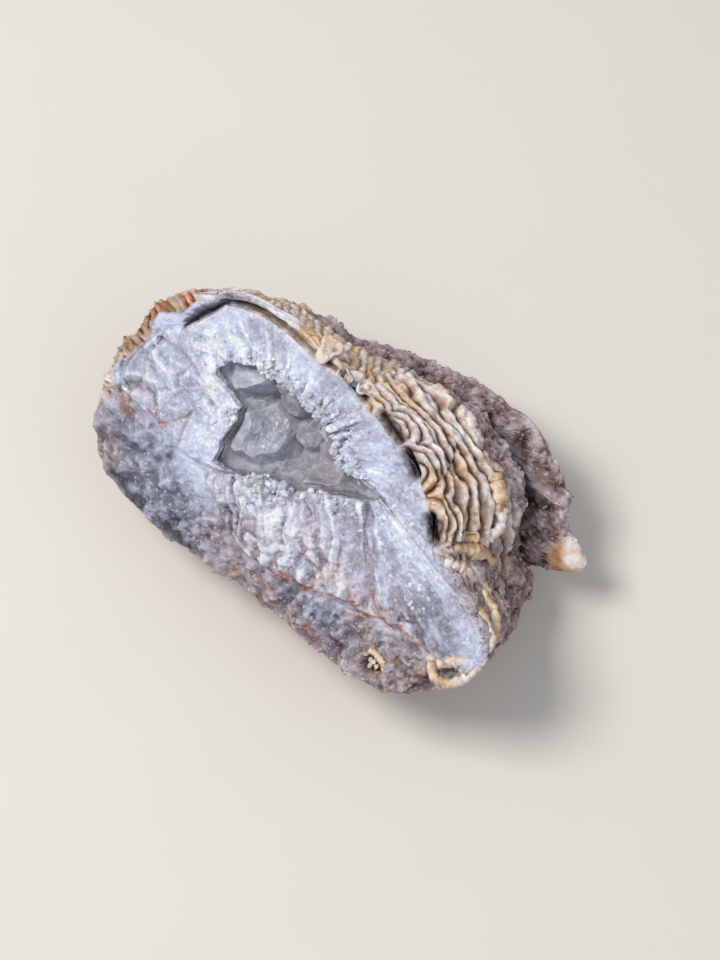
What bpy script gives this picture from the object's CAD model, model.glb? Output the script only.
# %% [markdown]
# # A geode half, from numpy surfaces
#
# The stone is a broken agate nodule. It lies on its rounded back, and the broken face looks up at
# the camera. From outside to inside it has a skin of agate ledges, grainy matrix, a thick wall of
# milky quartz, and a hollow lined with grey crystals. Every one of these is a grid of points that
# is laid out by a formula, pushed about by noise, and closed into a solid.

# %% The tools
import math

import bpy
import numpy as np
from mathutils import Matrix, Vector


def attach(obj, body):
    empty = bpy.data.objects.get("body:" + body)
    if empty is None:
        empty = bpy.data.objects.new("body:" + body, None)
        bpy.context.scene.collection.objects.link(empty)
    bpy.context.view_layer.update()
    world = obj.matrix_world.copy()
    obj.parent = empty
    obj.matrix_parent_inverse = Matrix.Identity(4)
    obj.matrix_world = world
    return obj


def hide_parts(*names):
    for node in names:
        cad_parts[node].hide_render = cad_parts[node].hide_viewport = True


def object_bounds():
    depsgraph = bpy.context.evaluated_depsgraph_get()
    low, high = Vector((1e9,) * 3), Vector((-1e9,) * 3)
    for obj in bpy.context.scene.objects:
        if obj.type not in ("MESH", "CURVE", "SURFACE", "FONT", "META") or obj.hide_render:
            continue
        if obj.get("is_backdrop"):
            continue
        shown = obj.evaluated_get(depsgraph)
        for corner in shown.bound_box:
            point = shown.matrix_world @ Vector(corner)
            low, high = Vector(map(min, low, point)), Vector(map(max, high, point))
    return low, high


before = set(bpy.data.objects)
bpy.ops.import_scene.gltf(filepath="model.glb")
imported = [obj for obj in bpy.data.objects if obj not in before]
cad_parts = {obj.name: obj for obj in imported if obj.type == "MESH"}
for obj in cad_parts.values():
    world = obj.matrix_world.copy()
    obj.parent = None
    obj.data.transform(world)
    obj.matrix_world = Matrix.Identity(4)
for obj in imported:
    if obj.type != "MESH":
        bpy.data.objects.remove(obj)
cad_low, cad_high = (np.array(corner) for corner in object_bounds())
print("CAD box in mm:", ((cad_high - cad_low) * 1000).round(1))

# %% [markdown]
# ## The stone's own frame
#
# The face is tilted, so it is easier to think in a frame that lies on it: u runs along the face, v
# up the face and n out of it, in millimetres. One function turns such points into the world. It
# also keeps every point inside the CAD model's box, which flattens the underside on the table.

# %% From the stone's frame to the world
MILLIMETRE = 0.001
FACE_RISE = math.radians(53.0)
FACE_MIDDLE = np.array([-5.6, -15.8, 47.0])


def to_world(points):
    """World = middle of the face + u along X, and v and n turned about X by the face's rise."""
    u, v, n = np.moveaxis(points, -1, 0)
    rise, lean = math.sin(FACE_RISE), math.cos(FACE_RISE)
    turned = np.stack([u, rise * v - lean * n, lean * v + rise * n], -1)
    return np.clip((turned + FACE_MIDDLE) * MILLIMETRE, cad_low, cad_high)


print("the face's middle in mm:", (to_world(np.zeros(3)) / MILLIMETRE).round(1))

# %% [markdown]
# ## Three outlines round one hub
#
# The broken face has three closed outlines, one inside the other: the rim of the stone, the edge
# of the quartz, and the mouth of the hollow. Each is a short list of (u, v) corners. Rays from one
# hub cross all three, so an angle and a share of the way between two outlines reach every place
# on the face. That is what makes a grid of it.

# %% The outlines
HUB = np.array([-2.0, 4.0])
RIM = ((69, 4), (65, 9), (57, 13), (47, 15), (40, 20), (34, 26), (24, 30), (15, 32), (5, 32),
       (-4, 32), (-13, 33), (-22, 33), (-30, 31), (-37, 29), (-43, 25), (-48, 20), (-54, 12),
       (-56, 7), (-56, -1), (-57, -10), (-55, -19), (-50, -29), (-40, -35), (-26, -36),
       (-10, -34), (6, -30), (22, -28), (38, -27), (51, -24), (60, -16), (66, -7))
QUARTZ = ((66, 3), (62, 8), (54, 11), (45, 12), (38, 17), (33, 22), (23, 27), (13, 28), (3, 29),
          (-6, 30), (-14, 28), (-24, 28), (-33, 26), (-41, 22), (-44, 14), (-49, 8), (-52, 0),
          (-53, -8), (-50, -14), (-42, -14), (-31, -13), (-20, -14), (-10, -18), (0, -22),
          (10, -21), (20, -17), (30, -12), (42, -8), (54, -5), (62, -4))
MOUTH = ((21, 13), (22, 15), (15, 15), (8, 14), (2, 18), (-4, 20), (-12, 19), (-20, 18),
         (-27, 15), (-32, 11), (-30, 8), (-21, 6), (-19, 2), (-19, -4), (-17, -9), (-12, -8.5),
         (-8, -6), (-4, -2), (2, 0), (8, 5), (15, 9))


def spokes(angles):
    """The direction (cos, sin) for every angle."""
    return np.stack([np.cos(angles), np.sin(angles)], -1)


def outline(corners, angles):
    """Where rays from the hub cross an outline: one (u, v) for every angle."""
    offsets = np.array(corners, float) - HUB
    corner_angles = np.arctan2(offsets[:, 1], offsets[:, 0])
    order = np.argsort(corner_angles)
    radii = np.interp(angles, corner_angles[order], np.hypot(*offsets.T)[order], period=2 * math.pi)
    return HUB + radii[:, None] * spokes(angles)


def run_along(points):
    """The way from the first point to each of them, along the line that joins them."""
    return np.concatenate([[0.0], np.cumsum(np.linalg.norm(np.diff(points, axis=0), axis=1))])


def even_angles(corners, count, crowd=lambda angle: 0.0):
    """Angles that step evenly along an outline, closer together where crowd is above 0."""
    fine = np.linspace(-math.pi, math.pi, 7201)
    steps = np.linalg.norm(np.diff(outline(corners, fine), axis=0), axis=1)
    dense = 1.0 + crowd(0.5 * (fine[1:] + fine[:-1]))
    reached = np.concatenate([[0.0], np.cumsum(steps * dense)])
    return np.interp(np.arange(count) * reached[-1] / count, reached, fine)


for name, corners in (("rim", RIM), ("quartz", QUARTZ), ("mouth", MOUTH)):
    print(name, "is", run_along(np.array([*corners, corners[0]])).max().round(), "mm round")

# %% [markdown]
# ## Lumps
#
# Rock is lumpy at every size. Lumps come from value noise: a repeatable random number at each
# point of a lattice, blended smoothly between. Blender has noise of its own, but this one takes
# whole arrays, and gives the same stone on every run.

# %% Noise
HASH_PRIMES = (73856093, 19349663, 83492791)
SEED_PRIME, MIX_PRIME = 2654435761, 1274126177
LOW_BITS = 0x7FFFFFFF


def hashed(lattice, seed):
    """A repeatable number from -1 to 1 for every whole lattice point."""
    x, y, z = (lattice[..., k] * prime for k, prime in enumerate(HASH_PRIMES))
    mixed = (x ^ y ^ z ^ seed * SEED_PRIME) & LOW_BITS
    mixed = ((mixed ^ mixed >> 13) * MIX_PRIME) & LOW_BITS
    return ((mixed ^ mixed >> 16) & 0xFFFF) / 32767.5 - 1.0


def noise(points, size, seed):
    """Smooth lumps from -1 to 1, about size millimetres wide."""
    scaled = points / size
    corner = np.floor(scaled).astype(np.int64)
    share = scaled - corner
    share = share * share * (3.0 - 2.0 * share)
    total = np.zeros(points.shape[:-1])
    for step in np.ndindex(2, 2, 2):
        step = np.array(step)
        weight = np.prod(np.where(step == 1, share, 1.0 - share), axis=-1)
        total += weight * hashed(corner + step, seed)
    return total


def lumps(points, size, seed, octaves=3):
    """Noise on noise: each octave is half as wide and half as high as the one before."""
    return sum(noise(points, size * 0.5 ** k, seed + k) * 0.5 ** k for k in range(octaves))


print("noise at one place:", noise(np.array([[1.0, 2.0, 3.0]]), 2.0, 1).round(3))

# %% [markdown]
# ## Broken crystals
#
# Broken crystal has flat sides that meet in sharp ridges. It comes from overlapping pyramids:
# every lattice cell holds one crystal with seven flat sides, and the highest one wins.

# %% Crystals
def unit(vectors):
    """The same directions with length 1."""
    return vectors / np.linalg.norm(vectors, axis=-1, keepdims=True)


# Forty random crystal shapes, each as the directions in which its seven sides face.
SIDES = unit(np.random.default_rng(5).normal(size=(40, 7, 3)))


def crystals(points, size, seed, slope=1.0, blunt=0.5, lean=0.3):
    """Height in millimetres: the highest of the pyramids tall - slope * reach around each point,
    where reach is how far the point lies out through the pyramid's nearest side. Each is cut off
    by a blunt top that leans."""
    scaled = points / size
    corner = np.floor(scaled - 0.5).astype(np.int64)
    best = np.full(points.shape[:-1], -2.0)
    for step in np.ndindex(2, 2, 2):
        cell = corner + np.array(step)
        middle = cell + 0.5 + 0.32 * np.stack([hashed(cell, seed + k) for k in range(3)], -1)
        shape = ((hashed(cell, seed + 3) * 0.5 + 0.5) * (len(SIDES) - 1)).astype(int)
        through = np.einsum("...k,...sk->...s", scaled - middle, SIDES[shape])
        tall = 0.5 + 0.25 * hashed(cell, seed + 4)
        pyramid = tall - slope * through.max(-1)
        top = tall * blunt + lean * through[..., 0]
        best = np.maximum(best, np.minimum(pyramid, top))
    return best * size


print("crystal shapes:", SIDES.shape[0], "with", SIDES.shape[1], "sides each")

# %% [markdown]
# ## Known places
#
# Stains, gaps and pits sit at known places, so they come from the distance to a point or to a
# line: 1 on it, and less and less away from it.

# %% Masks
def fade(value, start, end):
    """0 before start, 1 after end, and a smooth ramp between them."""
    share = np.clip((value - start) / (end - start), 0.0, 1.0)
    return share * share * (3.0 - 2.0 * share)


def near_spots(flat, spots):
    """1 on each spot (u, v, radius), falling off round it."""
    found = np.zeros(flat.shape[:-1])
    for u, v, radius in spots:
        away = np.hypot(flat[..., 0] - u, flat[..., 1] - v) / radius
        found = np.maximum(found, np.exp(-away ** 2))
    return found


def near_line(flat, line, width):
    """1 on a line of (u, v) corners, falling off over its width."""
    found = np.full(flat.shape[:-1], 1e9)
    for start, end in zip(np.array(line[:-1], float), np.array(line[1:], float)):
        along = end - start
        share = np.clip((flat[..., :2] - start) @ along / (along @ along), 0.0, 1.0)
        off = flat[..., :2] - start - share[..., None] * along
        found = np.minimum(found, np.linalg.norm(off, axis=-1))
    return np.exp(-(found / width) ** 2)


def near_lines(flat, lines, width):
    """1 on any of several lines, falling off over their width."""
    return np.max([near_line(flat, line, width) for line in lines], 0)


def off_by(degrees, other=0.0):
    """How far one angle in degrees lies from another, from -180 to 180."""
    return (degrees - other + 180.0) % 360.0 - 180.0


def arc(limits, angles, soft=14.0):
    """1 inside the arc between two angles in degrees, falling to 0 outside it."""
    middle, half = 0.5 * (limits[0] + limits[1]), 0.5 * (limits[1] - limits[0])
    return np.clip((half + soft - np.abs(off_by(np.degrees(angles), middle))) / soft, 0.0, 1.0)


print("half way down a fade:", fade(0.5, 0.0, 1.0))

# %% [markdown]
# ## From a grid to a mesh
#
# All surfaces here are grids of points whose columns run once round the stone. There are two ways
# to close such a grid: with a point at either end, or by joining the last row to the first, which
# makes a ring. The faces come from index arithmetic, so no vertex is touched one by one.

# %% Faces of a grid
def grid_faces(rows, columns, ring, first):
    """Quads between neighbouring rows and columns. Columns wrap round, and rows do in a ring."""
    used_rows = np.arange(rows if ring else rows - 1)
    row, column = np.meshgrid(used_rows, np.arange(columns), indexing="ij")
    below, beside = (row + 1) % rows, (column + 1) % columns
    quads = [row * columns + column, row * columns + beside,
             below * columns + beside, below * columns + column]
    return first + np.stack(quads, -1).reshape(-1, 4)


def outward(points, faces):
    """Turns all faces round if the volume they enclose, a sum of a . (b x c) / 6, is negative."""
    a, b, c, d = (points[faces[:, k]] for k in range(4))
    second_half = np.where(faces[:, 3:] >= 0, np.cross(c, d), 0.0)
    volume = np.sum(a * (np.cross(b, c) + second_half)) / 6.0
    if volume > 0.0:
        return faces
    return np.where(faces[:, 3:] >= 0, faces[:, ::-1], faces[:, [2, 1, 0, 3]])


def pole_solid(first_pole, grid, last_pole):
    """The points and faces of a grid closed by a fan of triangles to a point at either end."""
    rows, columns = grid.shape[:2]
    points = np.vstack([[first_pole], grid.reshape(-1, 3), [last_pole]])
    column = np.arange(columns)
    beside = (column + 1) % columns
    unused = np.full(columns, -1)
    last = 1 + (rows - 1) * columns
    top = np.stack([np.zeros(columns, int), 1 + beside, 1 + column, unused], 1)
    bottom = np.stack([last + column, last + beside, np.full(columns, len(points) - 1), unused], 1)
    return points, outward(points, np.vstack([top, grid_faces(rows, columns, False, 1), bottom]))


print("a ring of 3 rows and 4 columns has", len(grid_faces(3, 4, True, 0)), "quads")

# %% [markdown]
# ## Objects from points and faces
#
# Every vertex also gets marks: numbers such as how much agate or how much rust there is. They are
# stored as attributes of the mesh, where the materials read them.

# %% Making objects
def add_mesh(name, points, faces, marks, smooth):
    """Makes an object from points in the stone's frame. Triangles are quads with a -1."""
    mesh = bpy.data.meshes.new(name)
    mesh.vertices.add(len(points))
    mesh.vertices.foreach_set("co", to_world(points).astype(np.float32).ravel())
    used = faces >= 0
    corners = faces[used]
    mesh.loops.add(len(corners))
    mesh.loops.foreach_set("vertex_index", corners.astype(np.int32))
    sizes = used.sum(1)
    starts = np.concatenate([[0], np.cumsum(sizes)[:-1]])
    mesh.polygons.add(len(faces))
    mesh.polygons.foreach_set("loop_start", starts.astype(np.int32))
    mesh.update(calc_edges=True)
    mesh.polygons.foreach_set("use_smooth", np.full(len(faces), smooth))
    for mark, values in marks.items():
        layer = mesh.attributes.new(mark, "FLOAT", "POINT")
        layer.data.foreach_set("value", np.asarray(values, np.float32).ravel())
    made = bpy.data.objects.new(name, mesh)
    bpy.context.scene.collection.objects.link(made)
    print(f"{name}: {int((sizes - 2).sum())} triangles")
    return made


def padded_ends(values):
    """Marks of a grid as one list, with the first and last repeated for the poles."""
    return np.pad(np.asarray(values).reshape(-1), 1, mode="edge")


def close_ring(name, grid, marks, smooth):
    """A grid whose last row meets its first: a bent band with thickness."""
    points = grid.reshape(-1, 3)
    return add_mesh(name, points, outward(points, grid_faces(*grid.shape[:2], True, 0)), marks, smooth)


def close_poles(name, first_pole, grid, last_pole, marks):
    """Makes an object with flat faces from a grid that ends in two poles."""
    points, faces = pole_solid(first_pole, grid, last_pole)
    padded = {mark: padded_ends(values) for mark, values in marks.items()}
    return add_mesh(name, points, faces, padded, False)


def join_solids(name, solids):
    """One smooth object from several closed solids, each given as points, faces and marks."""
    points = np.concatenate([found for found, _, _ in solids])
    starts = np.cumsum([0] + [len(found) for found, _, _ in solids])
    faces = [np.where(faces >= 0, faces + start, -1) for start, (_, faces, _) in zip(starts, solids)]
    marks = {mark: np.concatenate([found[mark] for _, _, found in solids]) for mark in solids[0][2]}
    return add_mesh(name, points, np.concatenate(faces), marks, True)


# %% [markdown]
# ## The outside of the stone as one sheet
#
# The skin, the matrix behind it and the strip of matrix on the broken face touch each other
# everywhere, so they are drawn as one sheet of rows first and cut apart afterwards. That way they
# share their borders exactly. The sheet runs from the edge of the quartz, over the outer edge,
# down the flank, through the groove and over the back to its lowest point.

# %% Measures of the outside
# Tables run evenly round the face, from the right and anticlockwise, in mm or as a share.
SWELL = (-10, 3, 6, 6, 5, 3, 1, -2, -5, -5, -3, 0, 2, 2, 2, 2, 3, 3, 3, 3, 2, 0, -4, -3)
LOBE = (46, 52, 57, 48, 39, 32, 28, 27, 26, 28, 33, 38, 43, 45, 45, 43, 37, 33, 31, 31, 33, 38, 45,
        46)
GROOVE_DEPTH = (40, 40, 35, 30, 28, 27, 27, 28, 30, 32, 34, 38)
BACK_DEPTH = (1.0, 1.0, 1.0, 1.0, 0.92, 0.82, 0.74, 0.74, 0.84, 0.94, 1.0, 1.0)
BACK_POLE = np.array([4.0, 0.0, -60.0])
BACK_ROUNDING = ((0.9, 0.35), (0.72, 0.68), (0.45, 0.9), (0.2, 0.98), (0.02, 1.0))
LOBE_DEPTH, LOBE_BEHIND = 48.0, 9.0
GROOVE_CUT = 8.0
GROOVE_ARC = (2, 118)
NUB_ANGLE, NUB_REACH, NUB_WIDTH = 15.0, 14.0, 6.0
EDGE_DROP = (0.6, 2.6)
COLUMNS = 560
FACE_ROWS, FLANK_ROWS, BACK_ROWS = 74, 168, 90
FLANK_STEPS = 9


def around(values, angles):
    """Reads a table, evenly spaced round the face, at the angles given."""
    steps = np.linspace(0.0, 360.0, len(values) + 1)
    return np.interp(np.degrees(angles) % 360.0, steps, [*values, values[0]])


def finer_rows(rows, places):
    """Reads a stack of rows at fractional row numbers, along smooth (Catmull-Rom) curves."""
    rows = np.asarray(rows)
    low = np.clip(places.astype(int), 0, len(rows) - 2)
    share = (places - low)[:, None, None]
    before, after = rows[np.maximum(low - 1, 0)], rows[np.minimum(low + 2, len(rows) - 1)]
    here, there = rows[low], rows[low + 1]
    bend = (2 * before - 5 * here + 4 * there - after) * share ** 2
    twist = (3 * here - before - 3 * there + after) * share ** 3
    return here + 0.5 * ((there - before) * share + bend + twist)


def flank_rows(angles, rim):
    """Coarse rows from the rim over the flank, the groove and the lobe to the lowest point."""
    rim_radius = np.linalg.norm(rim - HUB, axis=1)
    swell = around(SWELL, angles)
    groove_depth = around(GROOVE_DEPTH, angles)
    off_nub = off_by(np.degrees(angles), NUB_ANGLE)
    lobe = around(LOBE, angles) + NUB_REACH * np.exp(-(off_nub / NUB_WIDTH) ** 2)
    lower = np.clip((HUB[1] - rim[:, 1]) / 20.0, 0.0, 1.0)
    edge_drop = EDGE_DROP[0] + (EDGE_DROP[1] - EDGE_DROP[0]) * lower
    profile = []
    for share in np.linspace(0.0, 1.0, FLANK_STEPS):
        radius = rim_radius + swell * math.sin(0.5 * math.pi * share)
        profile.append((radius, edge_drop + (groove_depth - edge_drop) * share))
    behind = np.maximum(LOBE_DEPTH, groove_depth + LOBE_BEHIND)
    body = rim_radius + swell
    cut = arc(GROOVE_ARC, angles)
    for share, gap_depth, gap_radius in ((0.2, 1.5, body - GROOVE_CUT),
                                         (0.4, 3.5, 0.5 * (body + lobe) - GROOVE_CUT),
                                         (0.6, 6.0, lobe - 0.2 * GROOVE_CUT),
                                         (0.8, 8.0, lobe + 1.0)):
        round_radius = body + (lobe - body) * (1.0 - math.cos(0.5 * math.pi * share))
        round_depth = groove_depth + (behind - groove_depth) * share
        radius = round_radius + (gap_radius - round_radius) * cut
        profile.append((radius, round_depth + (groove_depth + gap_depth - round_depth) * cut))
    profile.append((lobe, behind))
    shrink = around(BACK_DEPTH, angles)
    rows = [np.column_stack([HUB + radius[:, None] * spokes(angles), -deep * shrink])
            for radius, deep in profile]
    last = rows[-1]
    for share, fall in BACK_ROUNDING:
        flat = BACK_POLE[:2] + share * (last[:, :2] - BACK_POLE[:2])
        rows.append(np.column_stack([flat, last[:, 2] + fall * (BACK_POLE[2] - last[:, 2])]))
    return rows


def strip_rows(rim, edge, drop):
    """Rows of the broken face from the edge of the quartz out to the rim, which is worn down."""
    return [np.column_stack([edge + share * (rim - edge), -drop * max(0.0, share - 0.5) * 2.0])
            for share in np.linspace(0.0, 1.0, 7)]


# %% [markdown]
# ## The plain sheet
#
# The coarse rows only say how the stone bulges. Smooth curves through them give the many fine
# rows that the relief needs. Columns are closer together along the agate, which has more detail.

# %% The plain sheet
angles = even_angles(RIM, COLUMNS, lambda angle: 0.7 * arc((-25, 150), angle))
rim = outline(RIM, angles)
profile = flank_rows(angles, rim)
strip = strip_rows(rim, outline(QUARTZ, angles), -profile[0][:, 2])
sheet = np.concatenate([
    finer_rows(strip, np.linspace(0, len(strip) - 1, FACE_ROWS))[:-1],
    finer_rows(profile, np.linspace(0, float(FLANK_STEPS), FLANK_ROWS))[:-1],
    finer_rows(profile, np.linspace(float(FLANK_STEPS), len(profile) - 1, BACK_ROWS)),
])
RIM_ROW, GROOVE_ROW = FACE_ROWS - 1, FACE_ROWS + FLANK_ROWS - 2
print("sheet of", sheet.shape[0], "rows and", sheet.shape[1], "columns")

# %% [markdown]
# ## Where the sheet is skin and where it is matrix
#
# Agate covers the flank on the right and at the top, down to where the matrix begins. Round the
# upper left end it also covers a narrow strip of the face. The borders are bent by noise, so that
# they wander like real ones.

# %% Places on the sheet
AGATE_ARC = (17, 197)

row_step = np.linalg.norm(np.diff(sheet, axis=0), axis=-1)
reached = np.concatenate([np.zeros((1, COLUMNS)), np.cumsum(row_step, 0)])
depth = reached - reached[RIM_ROW]
along = np.broadcast_to(run_along(rim), depth.shape)
turn = np.broadcast_to(np.degrees(angles) % 360.0, depth.shape)
signed_turn = off_by(turn)
on_face = 1.0 - fade(depth, -0.8, 0.8)
left_end = fade(turn, 144.0, 154.0) * (turn < 270.0)
top_end = fade(turn, 74.0, 92.0) * (turn < 270.0) * (1.0 - left_end)
plain_side = 1.0 - left_end - top_end
tip = (1.0 - fade(signed_turn, 5.0, 13.0)) * (np.abs(signed_turn) < 90.0)

agate = arc(AGATE_ARC, angles + 0.12 * noise(sheet, 6.0, 36), 9.0)
rim_width = 3.4 + 1.4 * noise(sheet, 6.0, 39)
agate = agate * (1.0 - left_end * (1.0 - fade(depth + rim_width, -0.6, 0.6)))
agate = agate * (1.0 - on_face * tip)
agate = agate * (1.0 - fade(depth + 5.0 * noise(sheet, 10.0, 57), 24.0, 30.0))
print("share of the sheet that is agate:", agate.mean().round(2))

# %% [markdown]
# ## Ribbons of agate
#
# Agate skin looks like ribbons of dough that were pushed together: each ribbon is a rounded
# ridge, and the ridges run along the edge, bulge into fans near it, and fold over each other. So
# the relief is a stack of ridges over the depth, cut from a depth that is first bent by noise, and
# tilted a little differently in every fold.

# %% Ridges and folds
RIBBON = 5.0            # depth that one ribbon takes up
RIBBON_HEIGHT = 2.4
FAN, FAN_WIDTH, FAN_DEPTH = 9.0, 13.5, 6.5
FOLD_SIZE = 17.0


def ridge(phase, seed):
    """Rounded ridges, one per whole step of the phase: 1 - (2 f - 1)^2 of its fraction f, each
    ridge with a random number of its own."""
    number = np.floor(phase)
    lattice = np.stack([number, 0.0 * number, 0.0 * number], -1).astype(np.int64)
    return 1.0 - np.abs(2.0 * (phase - number) - 1.0) ** 2.0, hashed(lattice, seed)


def folds(along, depth, size, seed):
    """Cuts the flank into patches round random middles. Returns each point's patch, its place in
    the patch, and how far it lies from the patch's border."""
    scaled = np.stack([along, depth], -1) / size
    corner = np.floor(scaled).astype(np.int64)
    nearest, second = np.full(depth.shape, 9.0), np.full(depth.shape, 9.0)
    patch, local = np.zeros(depth.shape + (3,), np.int64), np.zeros(depth.shape + (2,))
    for step in np.ndindex(3, 3):
        cell = np.concatenate([corner + np.array(step) - 1, 0 * corner[..., :1]], -1)
        shift = np.stack([hashed(cell, seed), hashed(cell, seed + 1)], -1)
        middle = cell[..., :2] + 0.5 + 0.4 * shift
        away = np.linalg.norm(scaled - middle, axis=-1)
        closer = away < nearest
        second = np.where(closer, nearest, np.minimum(second, away))
        patch = np.where(closer[..., None], cell, patch)
        local = np.where(closer[..., None], (scaled - middle) * size, local)
        nearest = np.where(closer, away, nearest)
    return patch, local, (second - nearest) * size


# %% The ribbons on the flank
swerve_along = along + 2.5 * noise(sheet, 9.0, 47)
swerve_depth = depth + 3.0 * noise(sheet, 12.0, 52) + 1.4 * noise(sheet, 5.0, 53)
patch, local, border = folds(swerve_along, swerve_depth, FOLD_SIZE, 40)
tilt = 0.16 * hashed(patch, 43) * fade(depth, -1.0, 9.0)
waves = np.abs(np.sin(math.pi * swerve_along / FAN_WIDTH))
fans = FAN * np.exp(-np.maximum(depth, 0.0) / FAN_DEPTH) * waves
phase = (swerve_depth - fans + tilt * local[..., 0]) / RIBBON
phase = phase + 0.2 * hashed(patch, 44) * fade(depth, 2.0, 9.0)
phase += 0.3 * noise(sheet, 6.0, 41) + 0.16 * noise(sheet, 2.6, 42)
crest, each = ridge(phase, 54)
print("ribbons from", np.floor(phase.min()), "to", np.floor(phase.max()))

# %% [markdown]
# ## Ribs at the upper end
#
# Round the upper left end the ridges stand across the edge instead, as narrow ribs. Along the top
# there are slanting ribs behind the edge, and thin layers right at it.

# %% The ribs
RIB, SLOPE_RIB, LAYER = 1.9, 3.0, 1.5

bent = along + 2.6 * noise(sheet, 8.0, 48) + 0.7 * noise(sheet, 2.8, 30)
ribs, rib_each = ridge((bent + 0.3 * depth) / RIB, 49)
bent = along + 3.4 * noise(sheet, 8.0, 46) + 1.2 * noise(sheet, 3.0, 18)
slope_ribs, slope_each = ridge((bent - 0.5 * depth) / SLOPE_RIB, 45)
layers, _ = ridge((depth + 0.8 * noise(sheet, 6.0, 33)) / LAYER, 32)
behind_edge = fade(depth, 1.0, 3.0)
slope_ribs = slope_ribs * behind_edge + (0.35 + 0.45 * layers) * (1.0 - behind_edge)
crest = crest * plain_side + ribs * left_end + slope_ribs * top_end
each = np.where(left_end > 0.5, rib_each, np.where(top_end > 0.5, slope_each, each))
print("crest from", crest.min().round(2), "to", crest.max().round(2))

# %% [markdown]
# ## Gaps between quartz and skin
#
# Along the upper edge the skin has come off the quartz, and a dark gap is left. Further to the
# right there are short gaps with the outline of a lens, with a raised lip of agate round them. A
# band of chalky white follows the upper gap.

# %% Lines on the face
DARK_GAP = ((-46, 11), (-45, 15), (-43, 19), (-41.5, 23.2), (-37, 25.9), (-32, 27.8), (-24.5, 28.9),
            (-17, 29.2), (-8, 30.4), (0, 30.0))
CHALK = ((-47, 19), (-44, 23.5), (-38, 28.5), (-31, 30.8), (-24, 31.8))
LENSES = (((-5, 31.4), (2, 30.8)), ((9, 30.6), (16, 29.4)), ((20, 28.6), (25, 26.2)),
          ((35, 20.4), (39, 17.6)))
GAP_DEPTH, LENS_DEPTH, LIP_HEIGHT = 2.8, 3.4, 0.8


def dark_gap(flat, width):
    """1 in the open gap between the quartz and the skin, which gets narrower to the right."""
    slim = fade(flat[..., 0], -38.0, -20.0)
    return near_line(flat, DARK_GAP, width) ** (1.0 + 3.5 * slim) * (1.0 - 0.5 * slim)


below_face = sheet[..., 2]
gap = np.maximum(dark_gap(sheet, 1.2), near_line(sheet, DARK_GAP[1:4], 1.6)) * on_face
lens = near_lines(sheet, LENSES, 1.5) * fade(below_face, -5.0, -2.5)
lip = near_lines(sheet, LENSES, 2.6) * fade(below_face, -7.0, -4.0) * (1.0 - lens)
print("points in a gap:", int((np.maximum(gap, lens) > 0.5).sum()))

# %% [markdown]
# ## Relief of the skin
#
# The ribbons get knobs, and creases where two folds meet. Matrix is a mass of grains: lumps with
# small crystals on them. On the broken face it is a mass of shards. Masks blend the three, and the
# gaps and pits are cut last.

# %% Relief
PITS = ((61, -15, 4.0, 2.4), (37, -23, 4.0, 2.5), (-34, -20, 4.0, 1.6), (62.5, -4.5, 3.2, 2.6),
        (47, -19, 2.6, 3.0))
NUB_TIP = np.array([60.0, 20.5, -45.5])

crease = 0.35 * np.exp(-border / 0.9) * plain_side * fade(depth, 1.0, 5.0)
knobs = noise(sheet, 2.4, 55) + 0.7 * noise(sheet, 1.3, 59) - 0.8 * np.abs(noise(sheet, 1.7, 28))
strong = 0.9 + 0.4 * each + 0.5 * noise(sheet, 5.0, 56)
lower_ends = 1.0 - 0.45 * left_end - (0.8 - 0.35 * behind_edge) * top_end
height = RIBBON_HEIGHT * lower_ends * strong * crest ** 0.7
height += 0.5 * hashed(patch, 46) * fade(depth, 2.0, 8.0) * fade(border, 0.0, 2.0) * plain_side
height *= 1.0 - 0.75 * near_line(sheet, DARK_GAP, 2.2)
height += 0.7 * knobs * (0.3 + 0.7 * crest) * (1.0 - 0.4 * near_line(sheet, CHALK, 2.0)) - 1.4 * crease

grains = 1.3 * lumps(sheet, 5.0, 61, 4)
grains = grains + 0.9 * crystals(sheet, 1.6, 62, 1.2) + 0.7 * crystals(sheet, 3.0, 63, 1.1)
shards = 0.7 * crystals(sheet, 6.0, 64, 0.9, 0.5) + 0.7 * crystals(sheet, 2.4, 65, 1.2)
shards = shards + 0.3 * noise(sheet, 1.3, 34) + 0.9 * noise(sheet, 9.0, 66)
stone = grains * (1.0 - on_face) + shards * on_face

shell = fade(1.5 * noise(sheet, 4.0, 29) - np.linalg.norm(sheet - NUB_TIP, axis=-1), -7.5, -5.5)
relief = agate * (height - 0.8) + (1.0 - agate) * (1.0 - 0.8 * shell) * (stone - 0.4)
relief += 0.9 * noise(sheet, 15.0, 11) * fade(depth, 0.0, 6.0)
relief -= 0.5 * near_line(sheet, DARK_GAP[3:], 4.0) * on_face
relief = relief * (0.3 + 0.7 * fade(reached, 0.0, 1.2)) * (1.0 - lens)
relief = relief - GAP_DEPTH * gap - LENS_DEPTH * lens + LIP_HEIGHT * lip
for u, v, radius, deep in PITS:
    relief -= on_face * deep * near_spots(sheet, ((u, v, radius),))
print("relief from", relief.min().round(2), "to", relief.max().round(2), "mm")

# %% [markdown]
# ## The skin itself
#
# The relief moves each point along the sheet's normal, which is the cross product of the steps
# down and along the grid. What stands proud of its surroundings is kept as a mark, because such
# places catch the light and are worn paler.

# %% The skin
def grid_normals(grid):
    """Unit normals of a grid: the cross product of its steps down and along."""
    down = np.gradient(grid, axis=0)
    beside = np.roll(grid, -1, 1) - np.roll(grid, 1, 1)
    cross = np.cross(down, beside)
    return cross / np.maximum(np.linalg.norm(cross, axis=-1, keepdims=True), 1e-9)


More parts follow.
